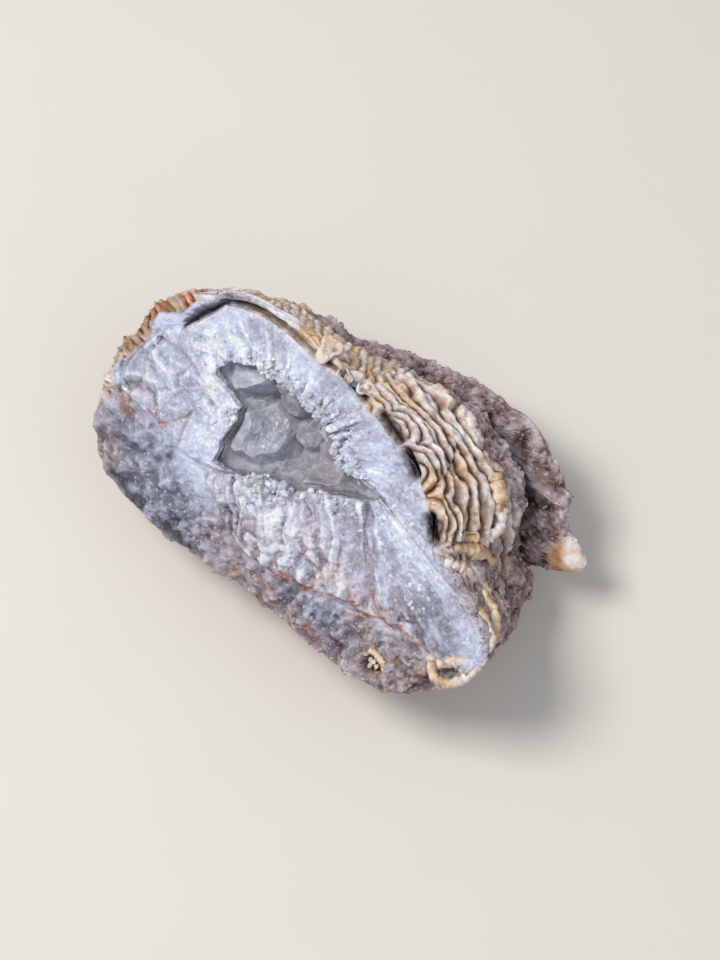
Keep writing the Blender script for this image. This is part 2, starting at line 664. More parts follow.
def blurred(values, reach):
    """The mean over a square of the grid: a running sum along each way, with rows repeated at the
    ends and columns wrapped round."""
    whole = 2 * reach + 1
    rows = np.pad(values, ((reach, reach), (0, 0)), mode="edge")
    total = np.pad(np.cumsum(rows, 0), ((1, 0), (0, 0)))
    rows = (total[whole:] - total[:-whole]) / whole
    wrapped = np.concatenate([rows[:, -reach:], rows, rows[:, :reach]], 1)
    total = np.pad(np.cumsum(wrapped, 1), ((0, 0), (1, 0)))
    return (total[:, whole:] - total[:, :-whole]) / whole


out = grid_normals(sheet)
skin = sheet + relief[..., None] * out
skin[..., 2] += 0.6 * agate * (1.0 - on_face) * height
proud = relief - blurred(relief, 5)
print("proud by up to", proud.max().round(2), "mm")

# %% [markdown]
# ## Stains on the broken face
#
# Low on the face the stone turns from white quartz to slate grey, in patches. Two cracks carry
# rust, which runs off into thin veins. Brown earth clings to the lower edge and the right end.
# All these are colour, so they are marks and not relief.

# %% Stains
CRACKS = (((-52, -19), (-43, -15.5), (-33, -12)),
          ((12, -19.5), (21, -17), (26, -14), (31, -11), (38, -10), (44, -7), (49, -5), (56, -4.6)))
RUST = ((-47.5, -30, 5.0), (-45, -17.5, 3.0), (-50, -16, 3.0), (47, -19, 3.5), (60, -12, 4.0),
        (30, -24, 3.0), (14, -26, 3.0), (2, -27, 4.0))
SLATE = ((51, -1, 8.0, 0.6), (58, -2, 6.0, 0.45), (-36, -9, 8.0, 0.35), (-47, 0, 7.0, 0.3),
         (-17, -33, 8.0, 0.9), (-28, -30, 8.0, 0.7), (-44, -24, 8.0, 0.45), (-53, -8, 5.0, 0.45),
         (20, -25, 8.0, 0.5), (36, -20, 9.0, 0.45), (52, -14, 7.0, 0.3), (-35, -16, 6.0, 0.2),
         (-19, -18, 8.0, -0.45))
SLATE_EDGE = ((-43, -31), (-36, -34), (-28, -35), (-18, -34), (-10, -32))
BROWN = ((-46, -16, 4.0), (-41, -31, 4.0), (-6, -24, 5.0), (4, -25, 5.0), (12, -27, 5.0),
         (24, -27, 5.0), (30, -27, 3.5), (38, -26, 5.0), (47, -21, 5.0), (58, -17, 5.0), (64, -8, 4.0))
BROWN_EDGE = ((-8, -34), (6, -30), (22, -28), (38, -27), (51, -24))
HOLES = ((-34.3, -13.2, 1.0), (-28.2, -18.1, 1.2), (47, -18.8, 2.5))
SHADED_EDGE = ((-38, -33.5), (-28, -35), (-18, -34), (-10, -32.5))


def slate(points):
    """How far the broken face turns from white quartz to slate grey: near the lower edge, most of
    all at a few places, and less at one of them."""
    flat = points * (1, 1, 0)
    low = 1.0 - fade(flat[..., 1] + 3.0 * noise(flat, 9.0, 85) - 0.12 * flat[..., 0], -21.0, -10.0)
    spots = sum(much * near_spots(flat, ((u, v, radius),)) for u, v, radius, much in SLATE)
    spots = spots + 0.9 * near_line(flat, SLATE_EDGE, 3.0)
    return np.clip(0.66 * low + spots + 0.25 * noise(flat, 5.0, 38) * low, 0.0, 1.0)


def veins(flat, seed):
    """Thin wandering lines: where two octaves of noise pass through zero."""
    return 1.0 - fade(np.abs(noise(flat, 6.0, seed) + 0.5 * noise(flat, 3.0, seed + 1)), 0.0, 0.13)


rust = np.maximum(near_lines(sheet, CRACKS, 0.9), near_lines(sheet, CRACKS, 5.0) * veins(sheet, 86))
rust = np.maximum(rust, 0.8 * near_spots(sheet, RUST))
rust = on_face * np.clip(rust * (0.55 + 1.0 * lumps(sheet, 2.6, 67)), 0.0, 1.0)
right_end = fade(signed_turn, -32.0, -22.0) * (1.0 - fade(signed_turn, 14.0, 20.0))
brown = near_spots(sheet, BROWN) + 0.9 * right_end * fade(reached, 1.0, 2.5)
brown = np.clip(brown + 0.6 * near_line(sheet, BROWN_EDGE, 2.5), 0.0, 1.0)
print("rusty share of the face:", (rust.sum() / on_face.sum()).round(2))

# %% [markdown]
# ## Shadows
#
# Deep gaps, holes and the groove behind the flank hold dirt and look nearly black, more than
# their depth alone would make them.

# %% Shadows and all marks of the sheet
from_groove = reached - reached[GROOVE_ROW]
groove = np.exp(-((from_groove - 6.0) / 4.5) ** 2) * arc(GROOVE_ARC, angles)
groove = groove * (0.7 + 0.6 * noise(sheet, 3.0, 31))
shaded = near_line(sheet, SHADED_EDGE, 2.2) * fade(noise(sheet, 3.0, 58), -0.6, 0.4)
dark = gap + 1.2 * lens + 0.9 * on_face * near_spots(sheet, HOLES) + 0.9 * groove
dark = np.clip(dark + 0.8 * on_face * shaded, 0.0, 1.0)
rim_arc = fade(turn, 152.0, 160.0) * (1.0 - fade(turn, 186.0, 200.0))
sheet_marks = {
    "agate": agate,
    "brown": brown,
    "chalk": np.clip(1.1 * near_line(sheet, CHALK, 1.9) * fade(below_face, -2.0, -0.8), 0.0, 0.95),
    "crest": np.clip(0.8 * crest + 0.2 * fade(proud, -0.5, 0.5) - 0.6 * crease, 0.0, 1.0),
    "dark": dark,
    "face": on_face * (1.0 - agate),
    "lip": np.clip(lip * 1.2, 0.0, 1.0),
    "proud": np.clip(0.5 + 0.7 * proud, 0.0, 1.0),
    "ribbon": 0.5 + 0.3 * each + 0.2 * hashed(patch, 49),
    "rim": rim_arc * fade(depth, -6.0, -3.0) * (1.0 - fade(depth, 1.5, 4.0)),
    "rust": rust,
    "shell": shell,
    "slate": slate(sheet),
}
print("marks:", ", ".join(sheet_marks))

# %% [markdown]
# ## Cutting the sheet
#
# Each piece takes some rows of the sheet as its outside and gets an inside of its own, so that it
# is a closed solid. An inside must never show in a gap of the band beside it, so it goes inwards
# and sinks.

# %% The pieces of the rind
INNER_POLE = BACK_POLE + (0, 0, 12)


def cut_band(name, start, end, inwards, sink, smooth):
    """A closed band with the sheet's rows from start to end as its outside. Its inside is seven of
    these rows in reverse order, moved inwards. It sinks more and more towards the first row."""
    picked = np.linspace(end, start, 7).round().astype(int)
    hidden = sheet[picked] + inwards
    hidden[..., 2] -= np.linspace(0.0, sink, 7)[:, None]
    rows = np.concatenate([np.arange(start, end + 1), picked])
    grid = np.concatenate([skin[start:end + 1], hidden])
    return close_ring(name, grid, {mark: values[rows] for mark, values in sheet_marks.items()}, smooth)


radial = np.column_stack([spokes(angles), np.zeros(COLUMNS)])
matrix_face = cut_band("matrix_face", 0, RIM_ROW, -2.4 * radial - (0.0, 0.0, 5.5), 0.0, False)
agate_ledges = cut_band("agate_ledges", RIM_ROW, GROOVE_ROW, -4.2 * radial, 9.0, True)
shrunk = np.array([0.75, 0.4])[:, None, None]
inner_rows = sheet[GROOVE_ROW] + (INNER_POLE - sheet[GROOVE_ROW]) * shrunk
back_rows = np.concatenate([[GROOVE_ROW] * 2, np.arange(GROOVE_ROW, len(sheet))])
matrix_back = close_poles("matrix_back", INNER_POLE, np.concatenate([inner_rows, skin[GROOVE_ROW:]]),
                          BACK_POLE, {mark: values[back_rows] for mark, values in sheet_marks.items()})

# %% [markdown]
# ## The broken quartz
#
# The quartz grew inwards from the agate as packed needles, so the broken face shows fibres that
# run towards the hollow, and their tips stand as teeth round its mouth. On the wide lower side
# the break follows thick columns instead. Both are the same crystal function, fed with points
# that are stretched along the fibres. First comes the grid, from the quartz's edge to the mouth.

# %% The grid of the quartz
QUARTZ_COLUMNS, QUARTZ_ROWS, LIP_ROWS = 620, 128, 12
TIP = math.radians(21.5)      # where the mouth's right tip lies, against 0 for the quartz's
CATCH_UP = math.radians(40.0)


def matched_angles(angles, edge):
    """For each column its angle on the mouth. The right tips of both outlines meet. On the lower
    side, where rays would graze the mouth, the columns step evenly along it. On the upper side they
    soon follow the rays: angle + tip * e^(-angle / 40 degrees)."""
    fine = np.linspace(-math.pi, TIP, 3601)
    mouth_run, edge_run = run_along(outline(MOUTH, fine)), run_along(edge)
    whole = np.interp(0.0, angles, edge_run)
    lower = np.interp(np.minimum(edge_run / whole, 1.0) * mouth_run[-1], mouth_run, fine)
    left_over = math.exp(-math.pi / CATCH_UP) * angles / math.pi
    upper = angles + TIP * (np.exp(-angles / CATCH_UP) - left_over)
    return np.where(angles < 0.0, lower, upper)


def in_plane(x, y):
    """Points (x, y, 0)."""
    return np.stack([x, y, 0.0 * x], -1)


def mouth_edge(angles):
    """The mouth's outline, jagged with crystal tips."""
    mouth = outline(MOUTH, angles)
    flat = in_plane(*mouth.T)
    jag = 0.6 * noise(flat, 3.0, 41) + 0.8 * crystals(flat, 2.2, 42) - 0.4
    return mouth - jag[:, None] * spokes(angles)


quartz_angles = even_angles(QUARTZ, QUARTZ_COLUMNS)
edge = outline(QUARTZ, quartz_angles)
mouth = mouth_edge(matched_angles(quartz_angles, edge))
way_in = np.linspace(0.0, 1.0, QUARTZ_ROWS)[:, None]
face = np.zeros((QUARTZ_ROWS, QUARTZ_COLUMNS, 3))
face[..., :2] = edge * (1.0 - way_in[..., None]) + mouth * way_in[..., None]
width = np.linalg.norm(mouth - edge, axis=1)
from_edge, from_mouth = way_in * width, (1.0 - way_in) * width
run = np.broadcast_to(run_along(edge), from_edge.shape)
print("the quartz is", width.min().round(1), "to", width.max().round(1), "mm wide")

# %% [markdown]
# ## Needles, columns and boulders
#
# Three kinds of broken surface share the face: needles above the mouth, columns below it, and
# round boulders to its left. A mask for each says where it is.

# %% Relief of the quartz
CLEAR = ((28.5, -0.4, 7.0), (24.0, 4.0, 6.0), (34.0, -4.0, 5.0), (40.0, 3.0, 8.0))
WHITE_CRUST = ((-5.5, -4.5), (-1.0, -8.0), (3.5, -10.5), (7.0, -12.5), (10.5, -14.4))
CALM = ((21.5, 13.5), (30, 12), (38, 11), (50, 6))
FACE_SINK = 0.25

quartz_turn = np.broadcast_to(np.degrees(quartz_angles) % 360.0, from_edge.shape)
below = np.where(quartz_turn < 60.0, 1.0, fade(quartz_turn, 218.0, 236.0))
over_tip = face[..., 1] - 13.0 + 0.52 * (face[..., 0] - 21.0) + noise(face, 4.0, 35)
below = below * (1.0 - fade(over_tip, -2.0, 0.5))
left = fade(quartz_turn, 150.0, 165.0) * (1.0 - fade(quartz_turn, 215.0, 230.0))
above = (1.0 - below) * (1.0 - left)

wave = in_plane(noise(face, 6.0, 60), noise(face, 6.0, 70))
fibres = in_plane(run, from_mouth / 2.8) + 0.8 * wave
across, up = 0.76 * face[..., 0] + 0.65 * face[..., 1], -0.65 * face[..., 0] + 0.76 * face[..., 1]
columns = in_plane(across, up / 2.4) + 1.2 * wave
bumps = face + 0.7 * wave

teeth = np.exp(-np.maximum(from_mouth - 2.5 + 2.5 * noise(face, 5.0, 79), 0.0) / 2.0)
needle = crystals(fibres, 2.8, 71, 1.3, 0.8) * (0.04 + teeth) + 0.25 * crystals(bumps, 3.4, 72, 1.0, 0.5)
panel = near_spots(face, CLEAR)
column = 1.15 * crystals(columns, 9.0, 73, 1.1, 0.5, 0.4) * (1.0 - 0.8 * panel)
column += 0.7 * crystals(bumps, 3.6, 74, 1.1, 0.6) * (1.0 - 0.85 * panel)
column += 0.5 * crystals(columns, 3.4, 37, 1.1, 0.6) * (1.0 - 0.5 * panel)
boulder = 1.2 * crystals(bumps, 9.0, 77, 0.8, 0.4) + 0.22 * crystals(bumps, 3.6, 78, 1.2, 0.6)
crust_line = near_line(face, WHITE_CRUST, 4.0)
broken = 0.15 * crystals(bumps, 1.9, 75, 1.3)
broken = broken + 0.9 * crust_line * (0.4 + crystals(bumps, 2.6, 88, 1.0, 0.6))

rise = 0.2 + 0.8 * noise(face, 10.0, 76) + broken
rise += above * needle + below * (column - 0.6) + left * (boulder - 0.6)
rise += 0.9 * np.exp(-from_mouth / 2.0) * (1.0 - below)
rise *= fade(from_edge, -0.5, 1.5)
rise *= 1.0 - 0.75 * near_line(face, CALM, 2.5)
rise -= 1.6 * np.maximum(near_lines(face, LENSES, 1.3), dark_gap(face, 0.7))
face[..., 2] = rise - FACE_SINK
print("the broken face is", np.ptp(face[..., 2]).round(1), "mm from its lowest to its highest point")

# %% [markdown]
# ## Frost, milk and stains of the quartz
#
# Broken quartz is white where it is frosty or full of bubbles, and lavender or grey where it is
# clear. The mark "milk" says how white it is. Pink and rust come from the iron in the crack.

# %% Marks of the quartz
LUMPS = ((-30, 5, 5.0), (-24, 2, 5.0), (-20, 2, 3.0), (-35, 12, 4.0))
PINK = ((10, -1, 5.0), (14, -7, 6.0), (20, -9, 5.0), (3, -19, 7.0), (-12, -12, 4.0), (-45, -10, 4.0),
        (5.5, -1, 6.0), (25, -8, 7.0), (37, -7, 5.0))
SPARKLING = ((26, 17), (33, 15), (45, 3))

face_proud = face[..., 2] - blurred(face[..., 2], 5)
milk = 0.42 + 0.32 * noise(face, 6.0, 81) + 0.8 * face_proud
milk += 0.3 * np.exp(-from_mouth / 3.0) * (1.0 - below)
milk += 0.28 * noise(in_plane(run / 1.1, from_mouth / 6.0) + 0.25 * wave, 1.5, 19) * above
glints = fade(noise(in_plane(run / 0.9, from_mouth / 2.6) + 0.25 * wave, 1.0, 27), 0.45, 0.75)
glints *= (1.0 - below) * (0.3 + 0.7 * np.exp(-from_mouth / 7.0)) * fade(from_edge, 2.0, 5.0)
milk += 0.7 * glints + 0.35 * crust_line + 0.3 * near_spots(face, LUMPS)
milk -= 0.25 * np.exp(-from_edge / 6.0) * above + 0.3 * panel

pink = near_lines(face, CRACKS, 5.5) * (0.45 + 0.8 * lumps(face, 3.5, 83))
pink = (pink + 0.55 * near_spots(face, PINK) + 0.22 * below) * (0.7 + 0.7 * noise(face, 2.2, 84))
seam = near_lines(face, CRACKS, 0.8) + near_lines(face, CRACKS, 4.0) * veins(face, 89)
seam = np.clip(seam * (0.5 + 1.0 * lumps(face, 2.4, 82)), 0.0, 1.0) * fade(-from_edge, -9.0, -4.0)
crevice = 1.3 * np.maximum(near_lines(face, LENSES, 1.5), dark_gap(face, 1.0))
face_marks = {
    "dark": np.clip(crevice, 0.0, 1.0),
    "edge": np.exp(-from_edge / 0.6) * above,
    "milk": np.clip(milk, 0.0, 1.0),
    "pink": np.clip(pink, 0.0, 1.0),
    "rust": seam,
    "slate": slate(face),
    "teeth": np.clip(teeth * (1.0 - below) + near_line(face, SPARKLING, 4.0), 0.0, 1.0),
}
print("mean milk:", face_marks["milk"].mean().round(2))

# %% [markdown]
# ## The quartz as a solid
#
# The face is only the top of the quartz. Below its edge the solid goes down into the pocket of
# the rind, and inside the mouth it goes down over a steep lip to the hollow's back.

# %% The quartz face
POCKET_ROWS = ((0.98, 5.0), (0.95, 11.0), (0.89, 18.0), (0.78, 25.0), (0.60, 30.5), (0.34, 33.5))
POCKET_POLE = np.array([-4.0, 4.0, -34.5])
HOLLOW_ROWS = ((1.0, 0.0), (1.0, 2.4), (1.0, 6.0), (0.98, 10.5), (0.91, 15.0), (0.76, 19.0),
               (0.48, 21.6), (0.2, 22.4))
HOLLOW_POLE = np.array([-8.0, 3.0, -22.6])
BEHIND_CRUST = HOLLOW_POLE - (0, 0, 1.5)
LIP_DEPTH = 6.0


def sunk_rows(outer, rows, pole):
    """Rows under an outline, drawn in towards the pole's place as they go down."""
    made = []
    for share, deep in rows:
        drift = (pole[:2] - HUB) * (deep / -pole[2])
        made.append(np.column_stack([HUB + drift + share * (outer - HUB), np.full(len(outer), -deep)]))
    return np.array(made)


lip_share = np.linspace(0.0, 1.0, LIP_ROWS + 1)[1:, None]
lip_flat = mouth + (mouth - HUB) * (0.035 * np.sqrt(lip_share))[..., None]
lip_points = np.concatenate([lip_flat, (face[-1:, :, 2] - LIP_DEPTH * lip_share)[..., None]], -1)
pocket = sunk_rows(edge, POCKET_ROWS, POCKET_POLE)[::-1]
hollow_back = sunk_rows(mouth + 0.05 * (mouth - HUB), HOLLOW_ROWS[3:], BEHIND_CRUST)
hidden_rows = len(pocket), len(lip_points) + len(hollow_back)
quartz_marks = {mark: np.pad(values, (hidden_rows, (0, 0)), mode="edge")
                for mark, values in face_marks.items()}
quartz_face = close_poles("quartz_face", POCKET_POLE,
                          np.concatenate([pocket, face, lip_points, hollow_back]),
                          BEHIND_CRUST, quartz_marks)

# %% [markdown]
# ## The crystals in the hollow
#
# A few large blunt crystals fill the hollow, with smaller ones between. The crust is a bowl seen
# from above, so each crystal is only a height over the bowl's floor, and opposite walls never pass
# through each other. A large crystal is a leaning top with six steep sides.

# %% Large crystals
# Each is (u, v, radius, height).
BLOCKS = ((-26.5, 12.5, 7.2, 7.5), (-14.5, 1.5, 8.5, 8.5), (-13.5, 12.5, 4.5, 4.5), (4.5, 7.0, 6.0, 5.0),
          (1.5, 17.0, 4.5, 7.0), (8.5, 14.0, 3.0, 6.5), (15.0, 13.5, 3.0, 7.0), (-20.5, -9.0, 5.0, 14.0),
          (-6.0, 8.0, 4.0, 4.0), (-20.0, 5.5, 4.0, 5.0))
SMALL_BLOCKS = 18


def block_height(points):
    """How far the large crystals stand up: the highest of the tilted tops tall + tilt . away, each
    cut off by six steep sides."""
    draw = np.random.default_rng(7)
    height = np.zeros(points.shape[:-1])
    small = [(draw.uniform(-30, 20), draw.uniform(-8, 18), draw.uniform(2.0, 3.6),
              draw.uniform(1.5, 4.5)) for _ in range(SMALL_BLOCKS)]
    for u, v, radius, tall in [*small, *BLOCKS]:
        away = points[..., :2] - (u, v)
        side_angles = draw.uniform(0, 2) + np.arange(6) * math.pi / 3 + draw.normal(size=6) * 0.22
        reach = np.max(away @ spokes(side_angles).T, axis=-1)
        top = tall + away @ draw.normal(size=2) * 0.12 - 0.3 * (reach / radius) ** 2
        second = tall * 1.08 + away @ draw.normal(size=2) * 0.35
        height = np.maximum(height, np.minimum(np.minimum(top, second), 2.6 * (radius - reach)))
    return height


print("large crystals in the hollow:", len(BLOCKS) + SMALL_BLOCKS)

# %% [markdown]
# ## The bowl of the hollow
#
# The crust hangs from the mouth's jagged outline, which soon gives way to a rounded one. From
# there the floor sinks towards one lowest place, and the crystals stand up from it.

# %% The hollow
HOLLOW_COLUMNS, BOWL_ROWS = 480, 170
BOTTOM = np.array([-7.0, 4.0])
BOWL_DEPTH, BOWL_EDGE = 15.0, 1.2
WARM = ((6.0, 7.5, 9.0), (0.0, 14.0, 6.0), (-12.0, 13.0, 5.0), (-20.0, -9.0, 6.0))


def smooth_round(values, reach):
    """A mean over neighbouring columns, for outlines that should lose their corners."""
    kernel = np.hanning(2 * reach + 3)[1:-1]
    wrapped = np.concatenate([values[-reach:], values, values[:reach]])
    return np.stack([np.convolve(wrapped[:, k], kernel / kernel.sum(), "valid") for k in (0, 1)], 1)


hollow_angles = even_angles(MOUTH, HOLLOW_COLUMNS)
jagged = mouth_edge(hollow_angles)
rounded = smooth_round(outline(MOUTH, hollow_angles), 26)
outwards = np.linspace(1.0, 0.02, BOWL_ROWS)[:, None]
inner = fade(outwards, 1.0, 0.9)[..., None]
flat = BOTTOM + outwards[..., None] * (jagged * (1.0 - inner) + rounded * inner - BOTTOM)
floor_depth = BOWL_EDGE + BOWL_DEPTH * (1.0 - outwards ** 2.2) ** 0.8
bowl = np.concatenate([flat, np.broadcast_to(-floor_depth, flat.shape[:-1])[..., None]], -1)
warped = bowl + 0.5 * np.stack([noise(bowl, 3.0, seed) for seed in (93, 94, 97)], -1)
thickness = 0.5 + block_height(warped) + 0.45 * crystals(warped, 5.0, 91, 1.0, 0.6)
thickness = (thickness + 0.35 * crystals(warped, 1.6, 92, 1.2)) * fade(outwards, 1.0, 0.8)
inside = bowl.copy()
inside[..., 2] += np.minimum(thickness, floor_depth - 0.8)
outside = sunk_rows(jagged, HOLLOW_ROWS, HOLLOW_POLE)[::-1]


def with_outside(values, filler):
    """The marks of the bowl, with one value for the hidden outside rows."""
    return np.concatenate([np.full((len(outside), HOLLOW_COLUMNS), filler), values])


block_proud = thickness - blurred(thickness, 4)
hollow_marks = {"deep": with_outside(np.clip(-inside[..., 2] / 20.0, 0.0, 1.0), 1.0),
                "proud": with_outside(np.clip(0.5 + 1.2 * block_proud, 0.0, 1.0), 0.5),
                "warm": with_outside(near_spots(inside, WARM), 0.0)}
hollow_crystals = close_poles("hollow_crystals", HOLLOW_POLE, np.concatenate([outside, inside]),
                              inside[-1].mean(0), hollow_marks)

# %% [markdown]
# ## Strings of agate
#
# Where the ribbons end, the agate grew on as single strings, knotted like worms. A string is a
# ring of points carried along a curve on the skin. Its places are given as an angle round the
# face and a depth below the rim, so that it lies on the skin wherever that is.

# %% Strings
RING = 14
# Each is a list of (angle, depth), a radius, and where it stands from ochre (0) to pale (1).
STRINGS = ((((37.0, 23.7), (34.2, 24.2), (31.4, 23.5), (28.5, 23.5), (24.4, 23.4)), 1.5, 0.2),
           (((29.6, 26.3), (25.0, 24.5), (21.6, 23.4), (17.9, 18.2)), 1.4, 0.7),
           (((29.0, 32.1), (23.9, 32.5), (19.2, 34.0), (16.1, 28.8)), 1.3, 0.9),
           (((17.5, 1.5), (17.0, 5.4), (15.7, 11.8), (14.8, 16.8), (11.8, 20.4)), 1.4, 0.1),
           (((14.5, -1.5), (13.4, 1.0), (12.3, 3.9), (10.5, 6.0)), 1.2, 0.9),
           (((8.6, 1.0), (6.0, 1.5), (4.2, 1.0), (1.7, 0.5)), 1.0, 0.3),
           (((9.4, 8.8), (6.9, 8.0), (4.7, 7.0), (1.7, 4.7)), 1.2, 0.0),
           (((14.0, 9.0), (11.0, 10.0), (8.0, 12.5), (5.0, 12.0)), 1.1, 0.5),
           (((44.0, 26.5), (41.0, 25.0), (38.5, 27.0), (35.0, 28.0)), 1.3, 0.5),
           (((60.0, 25.0), (56.0, 26.5), (52.0, 25.5), (47.5, 27.0)), 1.4, 0.8),
           (((78.0, 24.0), (73.0, 25.5), (68.0, 24.5), (63.0, 26.0)), 1.3, 0.4))
FOLDED_PLATE = (((57.1, -4.6, 0.6), (60.9, -8.6, 0.4), (65.0, -7.4, 0.2), (67.1, -2.6, 0.2),
                 (67.6, 2.6, 0.0)),
                ((59.7, -5.6, 0.4), (62.4, -2.0, 0.9), (65.6, 1.8, 0.5)))
PIT_ARCH = ((43.6, -19.0, -0.8), (44.4, -16.8, 0.0), (46.6, -15.6, 0.3), (49.0, -16.2, 0.1),
            (50.4, -18.2, -0.6))
PIT_BEADS = ((45.9, -18.4, -1.8), (47.2, -18.1, -1.6), (48.3, -18.8, -1.9), (46.9, -19.5, -2.2))
BEAD = np.array(((-0.3, 0, 0), (0, 0, 0.1), (0.3, 0, 0)))


def on_skin(places, lift):
    """Points on the skin at (angle, depth): the nearest column, and rows interpolated by depth."""
    found = []
    for turned, deep in places:
        column = int(np.argmin(np.abs(np.degrees(angles) - turned)))
        row = np.interp(deep, depth[:, column], np.arange(len(sheet)))
        low = int(row)
        place, way = (grid[low, column] * (1.0 - row + low) + grid[low + 1, column] * (row - low)
                      for grid in (skin, out))
        found.append(place + lift * way)
    return np.array(found)


def agate_marks(crest, kind):
    """The marks of a solid that is agate all over."""
    return {"agate": np.ones(len(crest)), "crest": crest, "ribbon": np.full(len(crest), kind),
            "proud": np.full(len(crest), 0.5)}


def string_solid(corners, radius, kind, flat=1.0):
    """Carries a ring of points along a smooth curve: place + radius (cos t side + sin t up). The
    radius swells and shrinks along the way, which makes knots."""
    path = finer_rows(corners[:, None], np.linspace(0, len(corners) - 1, 16 * len(corners)))[:, 0]
    ahead = unit(np.gradient(path, axis=0))
    side = unit(np.cross(ahead, (0.0, 0.0, 1.0)))[:, None]
    up = np.cross(side[:, 0], ahead)[:, None]
    ring = np.linspace(0.0, 2.0 * math.pi, RING, endpoint=False)
    share = np.linspace(-1.0, 1.0, len(path))
    reach = radius * np.sqrt(1.0 - share ** 6 * 0.96)[:, None]
    length = run_along(path)[:, None] + 1.2 * noise(path[:, None], 4.0, 17)
    knots = np.abs(np.sin(math.pi * length / (1.5 * radius)))
    uneven = 1.0 + 0.45 * noise(path[:, None] + np.zeros((1, RING, 1)), 2.4, 21)
    reach = reach * (0.8 + 0.32 * knots) * uneven
    grid = path[:, None] + (reach * np.cos(ring))[..., None] * side
    grid = grid + (flat * reach * np.sin(ring))[..., None] * up
    grid += 0.4 * noise(grid, 1.3, 22)[..., None] * up + 0.5 * noise(grid, 3.0, 20)[..., None] * side
    points, faces = pole_solid(path[0], grid, path[-1])
    crest = padded_ends(np.broadcast_to(0.45 + 0.45 * np.sin(ring), grid.shape[:2]))
    return points, faces, agate_marks(crest + 0.15 * noise(points, 1.6, 23), kind)


solids = [string_solid(on_skin(places, -0.2 * radius), 1.2 * radius, kind)
          for places, radius, kind in STRINGS]
solids += [string_solid(np.array(path) - (0.0, 0.0, 0.9), 1.5, 0.5, 0.9) for path in FOLDED_PLATE]
print("strings:", len(solids))

# %% [markdown]
# ## Cups of agate
#
# Some ribbons end in a small cup. A cup is one outline turned round an axis: up its outside, over
# the lip and into the hollow. It gets the same noise as the skin, so that it looks as worn as the
# rest. With the arch and beads of one small pit it joins the strings in one object.

# %% Cups
CUP_RING = 28
CUPS = ((110.0, 0.8, 3.4, 0.4), (96.0, 1.6, 2.0, 0.8), (85.0, 2.0, 2.0, 0.6), (19.2, 10.5, 2.0, 0.0))
# Rows are (share of the radius out, share of it up, how far it counts as a crest).
CUP_OUTLINE = ((0.25, -0.9, 0.2), (0.55, -0.8, 0.3), (0.85, -0.4, 0.45), (1.0, 0.0, 0.6),
               (1.0, 0.25, 0.75), (0.9, 0.45, 0.85), (0.74, 0.5, 0.75), (0.6, 0.4, 0.5),
               (0.48, 0.26, 0.45), (0.34, 0.2, 0.6), (0.18, 0.24, 0.7))


def cup_solid(centre, axis, radius, kind):
    """Turns the cup's outline round the axis. Two waves of the radius make it uneven."""
    out_share, up_share, crest = (column[:, None] for column in np.array(CUP_OUTLINE).T)
    side = unit(np.cross(axis, (0.3, 0.9, 0.1)))
    ring = np.linspace(0.0, 2.0 * math.pi, CUP_RING, endpoint=False)
    away = np.cos(ring)[:, None] * side + np.sin(ring)[:, None] * np.cross(axis, side)
    uneven = 1.0 + 0.2 * np.sin(2.0 * ring + kind * 9.0) + 0.14 * np.sin(3.0 * ring + kind * 4.0)
    grid = centre + radius * ((out_share * uneven)[..., None] * away + up_share[..., None] * axis)
    grid += 0.55 * noise(grid, 2.0, 24)[..., None] * away + 0.3 * noise(grid, 1.2, 25)[..., None] * axis
    points, faces = pole_solid(centre - 0.9 * radius * axis, grid, centre + 0.22 * radius * axis)
    return points, faces, agate_marks(padded_ends(crest + 0.2 * noise(grid, 1.4, 26)), kind)


for turned, deep, radius, kind in CUPS:
    place = on_skin(((turned, deep),), 0.1 * radius)[0]
    axis = 0.5 * (place - on_skin(((turned, deep),), -1.0)[0]) + (0.1, 0.1, 0.9)
    solids.append(cup_solid(place, unit(axis), radius, kind))
solids.append(string_solid(np.array(PIT_ARCH) - (0.0, 0.0, 0.6), 0.7, 0.0))
solids += [string_solid(np.array(place) + BEAD, 0.6, 0.3) for place in PIT_BEADS]
agate_strings = join_solids("agate_strings", solids)

# %% [markdown]
# ## Small crystals
#
# Quartz ends in a six-sided point. Hundreds of small ones stand round the mouth and along the
# crest of the lower wall, and the matrix is set with shorter grains of the same kind. All the
# crystals of a set are worked out at once: a ring at the foot, a ring at the shoulder and a tip.

# %% Six-sided crystals
CRYSTAL_POINTS = 14


def six_sided(feet, ways, radii, lengths, draw):
    """Points and faces of many crystals: foot + way * height + radius * (cos t side + sin t other)."""
    count = len(feet)
    ways = unit(ways)
    side = unit(np.cross(ways, draw.normal(size=(count, 3))))
    other = np.cross(ways, side)
    ring = np.arange(6) * math.pi / 3.0
    away = np.cos(ring)[:, None] * side[:, None] + np.sin(ring)[:, None] * other[:, None]
    away = away * (1.0 + 0.25 * draw.uniform(-1, 1, (count, 6, 1))) * radii[:, None, None]
    foot = feet[:, None] + away
    shoulder = feet[:, None] + 0.92 * away + (ways * (lengths - 0.9 * radii)[:, None])[:, None]
    ragged = radii[:, None] * draw.uniform(-0.25, 0.25, (count, 6))
    shoulder = shoulder + ways[:, None] * ragged[..., None]
    tips = feet + ways * lengths[:, None] + 0.3 * away[:, 0]
    points = np.concatenate([feet[:, None], foot, shoulder, tips[:, None]], 1)
    step, beside, unused = np.arange(6), (np.arange(6) + 1) % 6, np.full(6, -1)
    one = np.concatenate([np.stack([0 * step, 1 + beside, 1 + step, unused], 1),
                          np.stack([1 + step, 1 + beside, 7 + beside, 7 + step], 1),
                          np.stack([7 + step, 7 + beside, 13 + 0 * step, unused], 1)])
    starts = CRYSTAL_POINTS * np.arange(count)[:, None, None]
    points, faces = points.reshape(-1, 3), np.where(one >= 0, one + starts, -1).reshape(-1, 4)
    return points, outward(points, faces)


